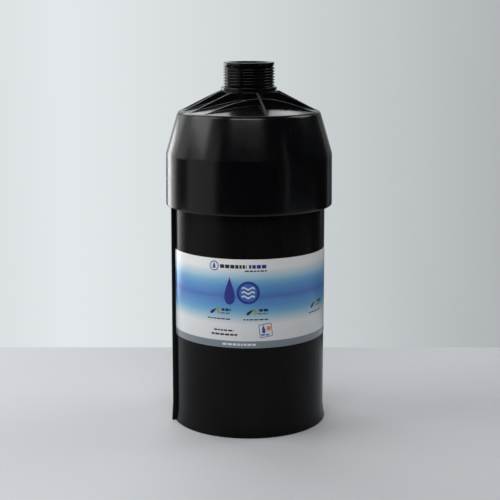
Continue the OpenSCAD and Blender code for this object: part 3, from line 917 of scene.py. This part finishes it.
def make_woven_screen(name, node):
    """Woven wire cloth in a pressed rim: each wire rises and dips past those that cross it."""
    lo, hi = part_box(node)
    middle, half = (lo.z + hi.z) / 2, (hi.z - lo.z) / 2
    rim_r, rim_in_r, rim_edge = hi.x, hi.x - 3 * MM, 0.2 * MM
    pitch, wire, sides = 3.2 * MM, half * 0.48, 5
    ring = [polar(wire, 2 * math.pi * j / sides, 0)[:2] for j in range(sides)]
    shape = Shape()
    shape.lathe(rounded([
        (rim_in_r, lo.z, rim_edge),
        (rim_r, lo.z, rim_edge),
        (rim_r, hi.z, rim_edge),
        (rim_in_r, hi.z, rim_edge)
    ], steps=3), turns=144)
    count = int((rim_r - 2 * MM) / pitch)
    for across in (0, 1):
        for k in range(-count, count + 1):
            at = k * pitch
            reach = math.sqrt((rim_r - 1.5 * MM) ** 2 - at ** 2)
            steps = max(2, int(2 * reach / (pitch / 2)))
            rows = []
            for i in range(steps + 1):
                along = -reach + 2 * reach * i / steps
                phase = along / pitch * math.pi + (k + across) * math.pi
                z = middle + math.cos(phase) * wire * 0.95
                if across:
                    rows.append([(along, at + beside, z + up) for beside, up in ring])
                else:
                    rows.append([(at + beside, along, z + up) for beside, up in ring])
            shape.grid(rows, wrap_columns=True)
    made = shape.piece(name, "tube", "stainless", STEEL_DRAWN, sharp=60)
    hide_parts(node)


def make_spring():
    """Round wire with closed, ground end coils, made at one length; the real spring shortens as the
    follower rises.
    """
    lo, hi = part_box("bed_spring")
    wire = 1.3 * MM
    r = hi.x - wire
    low_z, high_z = lo.z + wire * 0.9, hi.z - wire * 0.9
    steps, sides, turns = 480, 12, 6.5
    end_turns, end_rise = 0.75, 2.05 * wire
    open_rise = high_z - low_z - 2 * end_rise
    rows = []
    for i in range(steps + 1):
        at = turns * i / steps
        first = min(at / end_turns, 1.0)
        climb = min(max((at - end_turns) / (turns - 2 * end_turns), 0.0), 1.0)
        last = max((at - turns + end_turns) / end_turns, 0.0)
        z = low_z + end_rise * (first + last) + open_rise * climb
        row = []
        for j in range(sides):
            a = 2 * math.pi * j / sides
            ground_z = min(max(z + wire * math.sin(a), lo.z), hi.z)
            row.append(polar(r + wire * math.cos(a), 2 * math.pi * at, ground_z))
        rows.append(row)
    shape = Shape()
    shape.grid(rows, wrap_columns=True, capped=True)
    made = shape.piece("wound_spring", "tube", "stainless", STEEL_ROUND, sharp=60, merge=1e-7)
    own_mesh(made)
    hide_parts("bed_spring")


def dress(node, material):
    """Keeps a CAD node's shape, breaks its sharp edges and gives it a finish."""
    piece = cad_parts[node]
    piece.data.materials.clear()
    piece.data.materials.append(material)
    bevel = piece.modifiers.new("edges", "BEVEL")
    bevel.width = 0.25 * MM
    bevel.segments = 2
    bevel.limit_method = "ANGLE"
    bevel.angle_limit = math.radians(40)


def make_filling():
    """Felts, granule beds, screens and the spring over them."""
    make_disc("felt_top", "top_felt", "felt", FELT, edge=1.6 * MM, rough=0.35 * MM, scale=180)
    make_disc("felt_middle", "middle_felt", "felt", FELT, edge=1.2 * MM, rough=0.3 * MM, scale=180)
    make_disc("felt_bottom", "bottom_felt", "felt", FELT, edge=1.4 * MM, rough=0.3 * MM, scale=180)
    make_disc(
        "granules_upper", "sorbent_bed", "sorbent_granules", SORBENT,
        edge=1.0 * MM, rough=0.6 * MM, scale=320
    )
    make_disc(
        "granules_lower", "lock_bed", "lock_granules", LOCK,
        edge=1.0 * MM, rough=0.5 * MM, scale=420
    )
    make_woven_screen("wire_cloth_top", "top_screen")
    make_woven_screen("wire_cloth_bottom", "bottom_screen")
    make_spring()


def dress_cad_nodes():
    """Gives a finish to each CAD node that shows in its own shape."""
    finishes = (
        (SEAL_RUBBER, ("spigot_gasket", "cap_seals")),
        (STEEL_ROUND, ("spigot_washer", "snap_ring", "stem_clip")),
        (STEEL_ROUND, ("upper_spring_seat", "lower_spring_seat")),
        (STEEL_DRAWN, ("strainer_basket", "strainer_bail", "follower_stem", "stem_nut")),
        (INNER_BLACK, ("spigot_nut", "strainer_rim", "outlet_ring", "support_grid")),
        (PLATE, ("diffuser_plate", "follower_plate", "separator_disc")),
        (BUSH, ("guide_bush",))
    )
    for material, nodes in finishes:
        for node in nodes:
            dress(node, material)


make_cap()
make_spigot()
make_tube()
make_rail()
make_label()
make_print()
make_filling()
dress_cad_nodes()


# ---------------------------------------------------------------- stage, light and camera

def stage_sheet(name, points, material, half_width):
    """A sheet swept along X from points of (y, z)."""
    mesh = bpy.data.meshes.new(name)
    verts = [(side * half_width, y, z) for y, z in points for side in (-1, 1)]
    faces = [[2 * i, 2 * i + 1, 2 * i + 3, 2 * i + 2] for i in range(len(points) - 1)]
    mesh.from_pydata(verts, [], faces)
    mesh.shade_smooth()
    mesh.set_sharp_from_angle(angle=math.radians(60))
    mesh.materials.append(material)
    sheet = bpy.data.objects.new(name, mesh)
    bpy.context.collection.objects.link(sheet)


def softbox(name, at, aim, size, power):
    """A rectangular lamp that aims at a point and doesn't show itself."""
    data = bpy.data.lights.new(name, "AREA")
    data.shape = "RECTANGLE"
    data.size, data.size_y = size
    data.energy = power
    lamp = bpy.data.objects.new(name, data)
    lamp.location = at
    lamp.rotation_mode = "QUATERNION"
    lamp.rotation_quaternion = (Vector(aim) - Vector(at)).to_track_quat("-Z", "Y")
    lamp.visible_camera = False
    bpy.context.collection.objects.link(lamp)


def make_stage():
    """A pale table top with a rounded back edge."""
    top = paper("table_paper", (0.54, 0.555, 0.575), roughness=0.7)
    front, back, half_width, thick, edge = -0.62, 0.207, 1.1, 0.04, 0.006
    turn = [(back + edge * math.sin(a), edge * math.cos(a) - edge) for a in (0, 0.4, 0.8, 1.2, 1.57)]
    profile = [(front, -thick), (front, 0)] + turn + [(back + edge, -thick)]
    stage_sheet("table", profile, top, half_width)


def make_world():
    """A pale room, brightest just left of +Y. The camera sees one, and the object meets a darker one."""
    # Greys round the compass, as (turn, grey): -X is 0.25, +Y is 0.5 and +X is 0.75
    seen = [
        (0.0, 0.58), (0.25, 0.66), (0.465, 0.73), (0.477, 0.81), (0.50, 0.68),
        (0.532, 0.455), (0.62, 0.46), (0.75, 0.50), (1.0, 0.58)
    ]
    met = [
        (0.0, 0.01), (0.29, 0.01), (0.34, 0.30), (0.46, 0.76), (0.50, 0.66),
        (0.54, 0.46), (0.575, 0.20), (0.60, 0.04), (1.0, 0.01)
    ]
    # Where a direction's z falls from high_z to low_z, the met room dims to this share of its light
    low_share, low_z, high_z = 0.3, -0.13, -0.02
    world = bpy.data.worlds.new("studio")
    world.use_nodes = True
    nodes, links = world.node_tree.nodes, world.node_tree.links
    split = nodes.new("ShaderNodeSeparateXYZ")
    links.new(nodes.new("ShaderNodeTexCoord").outputs["Generated"], split.inputs["Vector"])
    turn = nodes.new("ShaderNodeMath")
    turn.operation = "ARCTAN2"
    links.new(split.outputs["X"], turn.inputs[0])
    links.new(split.outputs["Y"], turn.inputs[1])
    around = nodes.new("ShaderNodeMapRange")
    around.inputs["From Min"].default_value = -math.pi
    around.inputs["From Max"].default_value = math.pi
    links.new(turn.outputs["Value"], around.inputs["Value"])

    def background(stops):
        """A background with these greys round the compass."""
        ramp = nodes.new("ShaderNodeValToRGB")
        points = ramp.color_ramp.elements
        while len(points) < len(stops):
            points.new(0.5)
        for point, (at, grey) in zip(points, stops):
            point.position = at
            point.color = (grey * 0.95, grey, grey * 1.03, 1)
        links.new(around.outputs["Result"], ramp.inputs["Fac"])
        back = nodes.new("ShaderNodeBackground")
        links.new(ramp.outputs["Color"], back.inputs["Color"])
        return back

    room = background(met)
    fall = nodes.new("ShaderNodeMapRange")
    fall.inputs["From Min"].default_value = low_z
    fall.inputs["From Max"].default_value = high_z
    fall.inputs["To Min"].default_value = low_share
    links.new(split.outputs["Z"], fall.inputs["Value"])
    links.new(fall.outputs["Result"], room.inputs["Strength"])
    mix = nodes.new("ShaderNodeMixShader")
    links.new(nodes.new("ShaderNodeLightPath").outputs["Is Camera Ray"], mix.inputs["Fac"])
    links.new(room.outputs["Background"], mix.inputs[1])
    links.new(background(seen).outputs["Background"], mix.inputs[2])
    links.new(mix.outputs["Shader"], nodes["World Output"].inputs["Surface"])
    bpy.context.scene.world = world


def make_lights():
    """Soft light from the upper left and front, with low lamps at the left rear for the edges."""
    softbox("key_left", (-0.95, -0.10, 0.95), (0, 0, 0.12), (0.8, 0.8), 7.2)
    softbox("left_rear", (-0.62, 0.73, 0.10), (-0.03, 0, 0.17), (0.24, 0.44), 1.45)
    softbox("left_middle", (-0.80, 0.62, 0.26), (-0.03, 0, 0.17), (0.36, 0.62), 0.85)
    softbox("left_side", (-0.95, 0.25, 0.50), (0, 0, 0.15), (0.35, 0.60), 0.6)
    softbox("left_card", (-1.25, -0.50, 0.40), (0, 0, 0.17), (1.2, 1.0), 2.5)
    softbox("front_high", (-0.1, -1.15, 1.35), (0, 0, 0.12), (1.2, 0.5), 11.5)
    softbox("back_high", (-0.40, 1.25, 1.15), (0, 0.1, 0.1), (1.6, 0.7), 8.2)
    softbox("right_high", (0.9, 0.30, 0.95), (0, 0, 0.05), (0.6, 0.6), 3.6)
    softbox("right_edge", (0.62, 0.70, 0.30), (0, 0, 0.17), (0.04, 0.8), 0.08)
    softbox("right_strip", (0.79, -0.62, 0.30), (0, 0, 0.17), (0.03, 0.7), 0.07)


def make_camera():
    """A long lens a little above the object. Its shift keeps the object's uprights near parallel."""
    lo, hi = cad_box
    distance, height, pitch = 1.029, 0.3466, math.radians(10.21)
    aside = 0.8 * MM
    data = bpy.data.cameras.new("camera")
    camera = bpy.data.objects.new("camera", data)
    data.lens = 90.5
    data.shift_y = -0.045
    data.clip_start, data.clip_end = 0.01, 20
    camera.location = ((lo.x + hi.x) / 2 + aside, -distance, height)
    camera.rotation_euler = (math.pi / 2 - pitch, 0, 0)
    bpy.context.collection.objects.link(camera)
    bpy.context.scene.camera = camera
    bpy.context.scene.view_settings.view_transform = "Standard"


make_stage()
make_world()
make_lights()
make_camera()
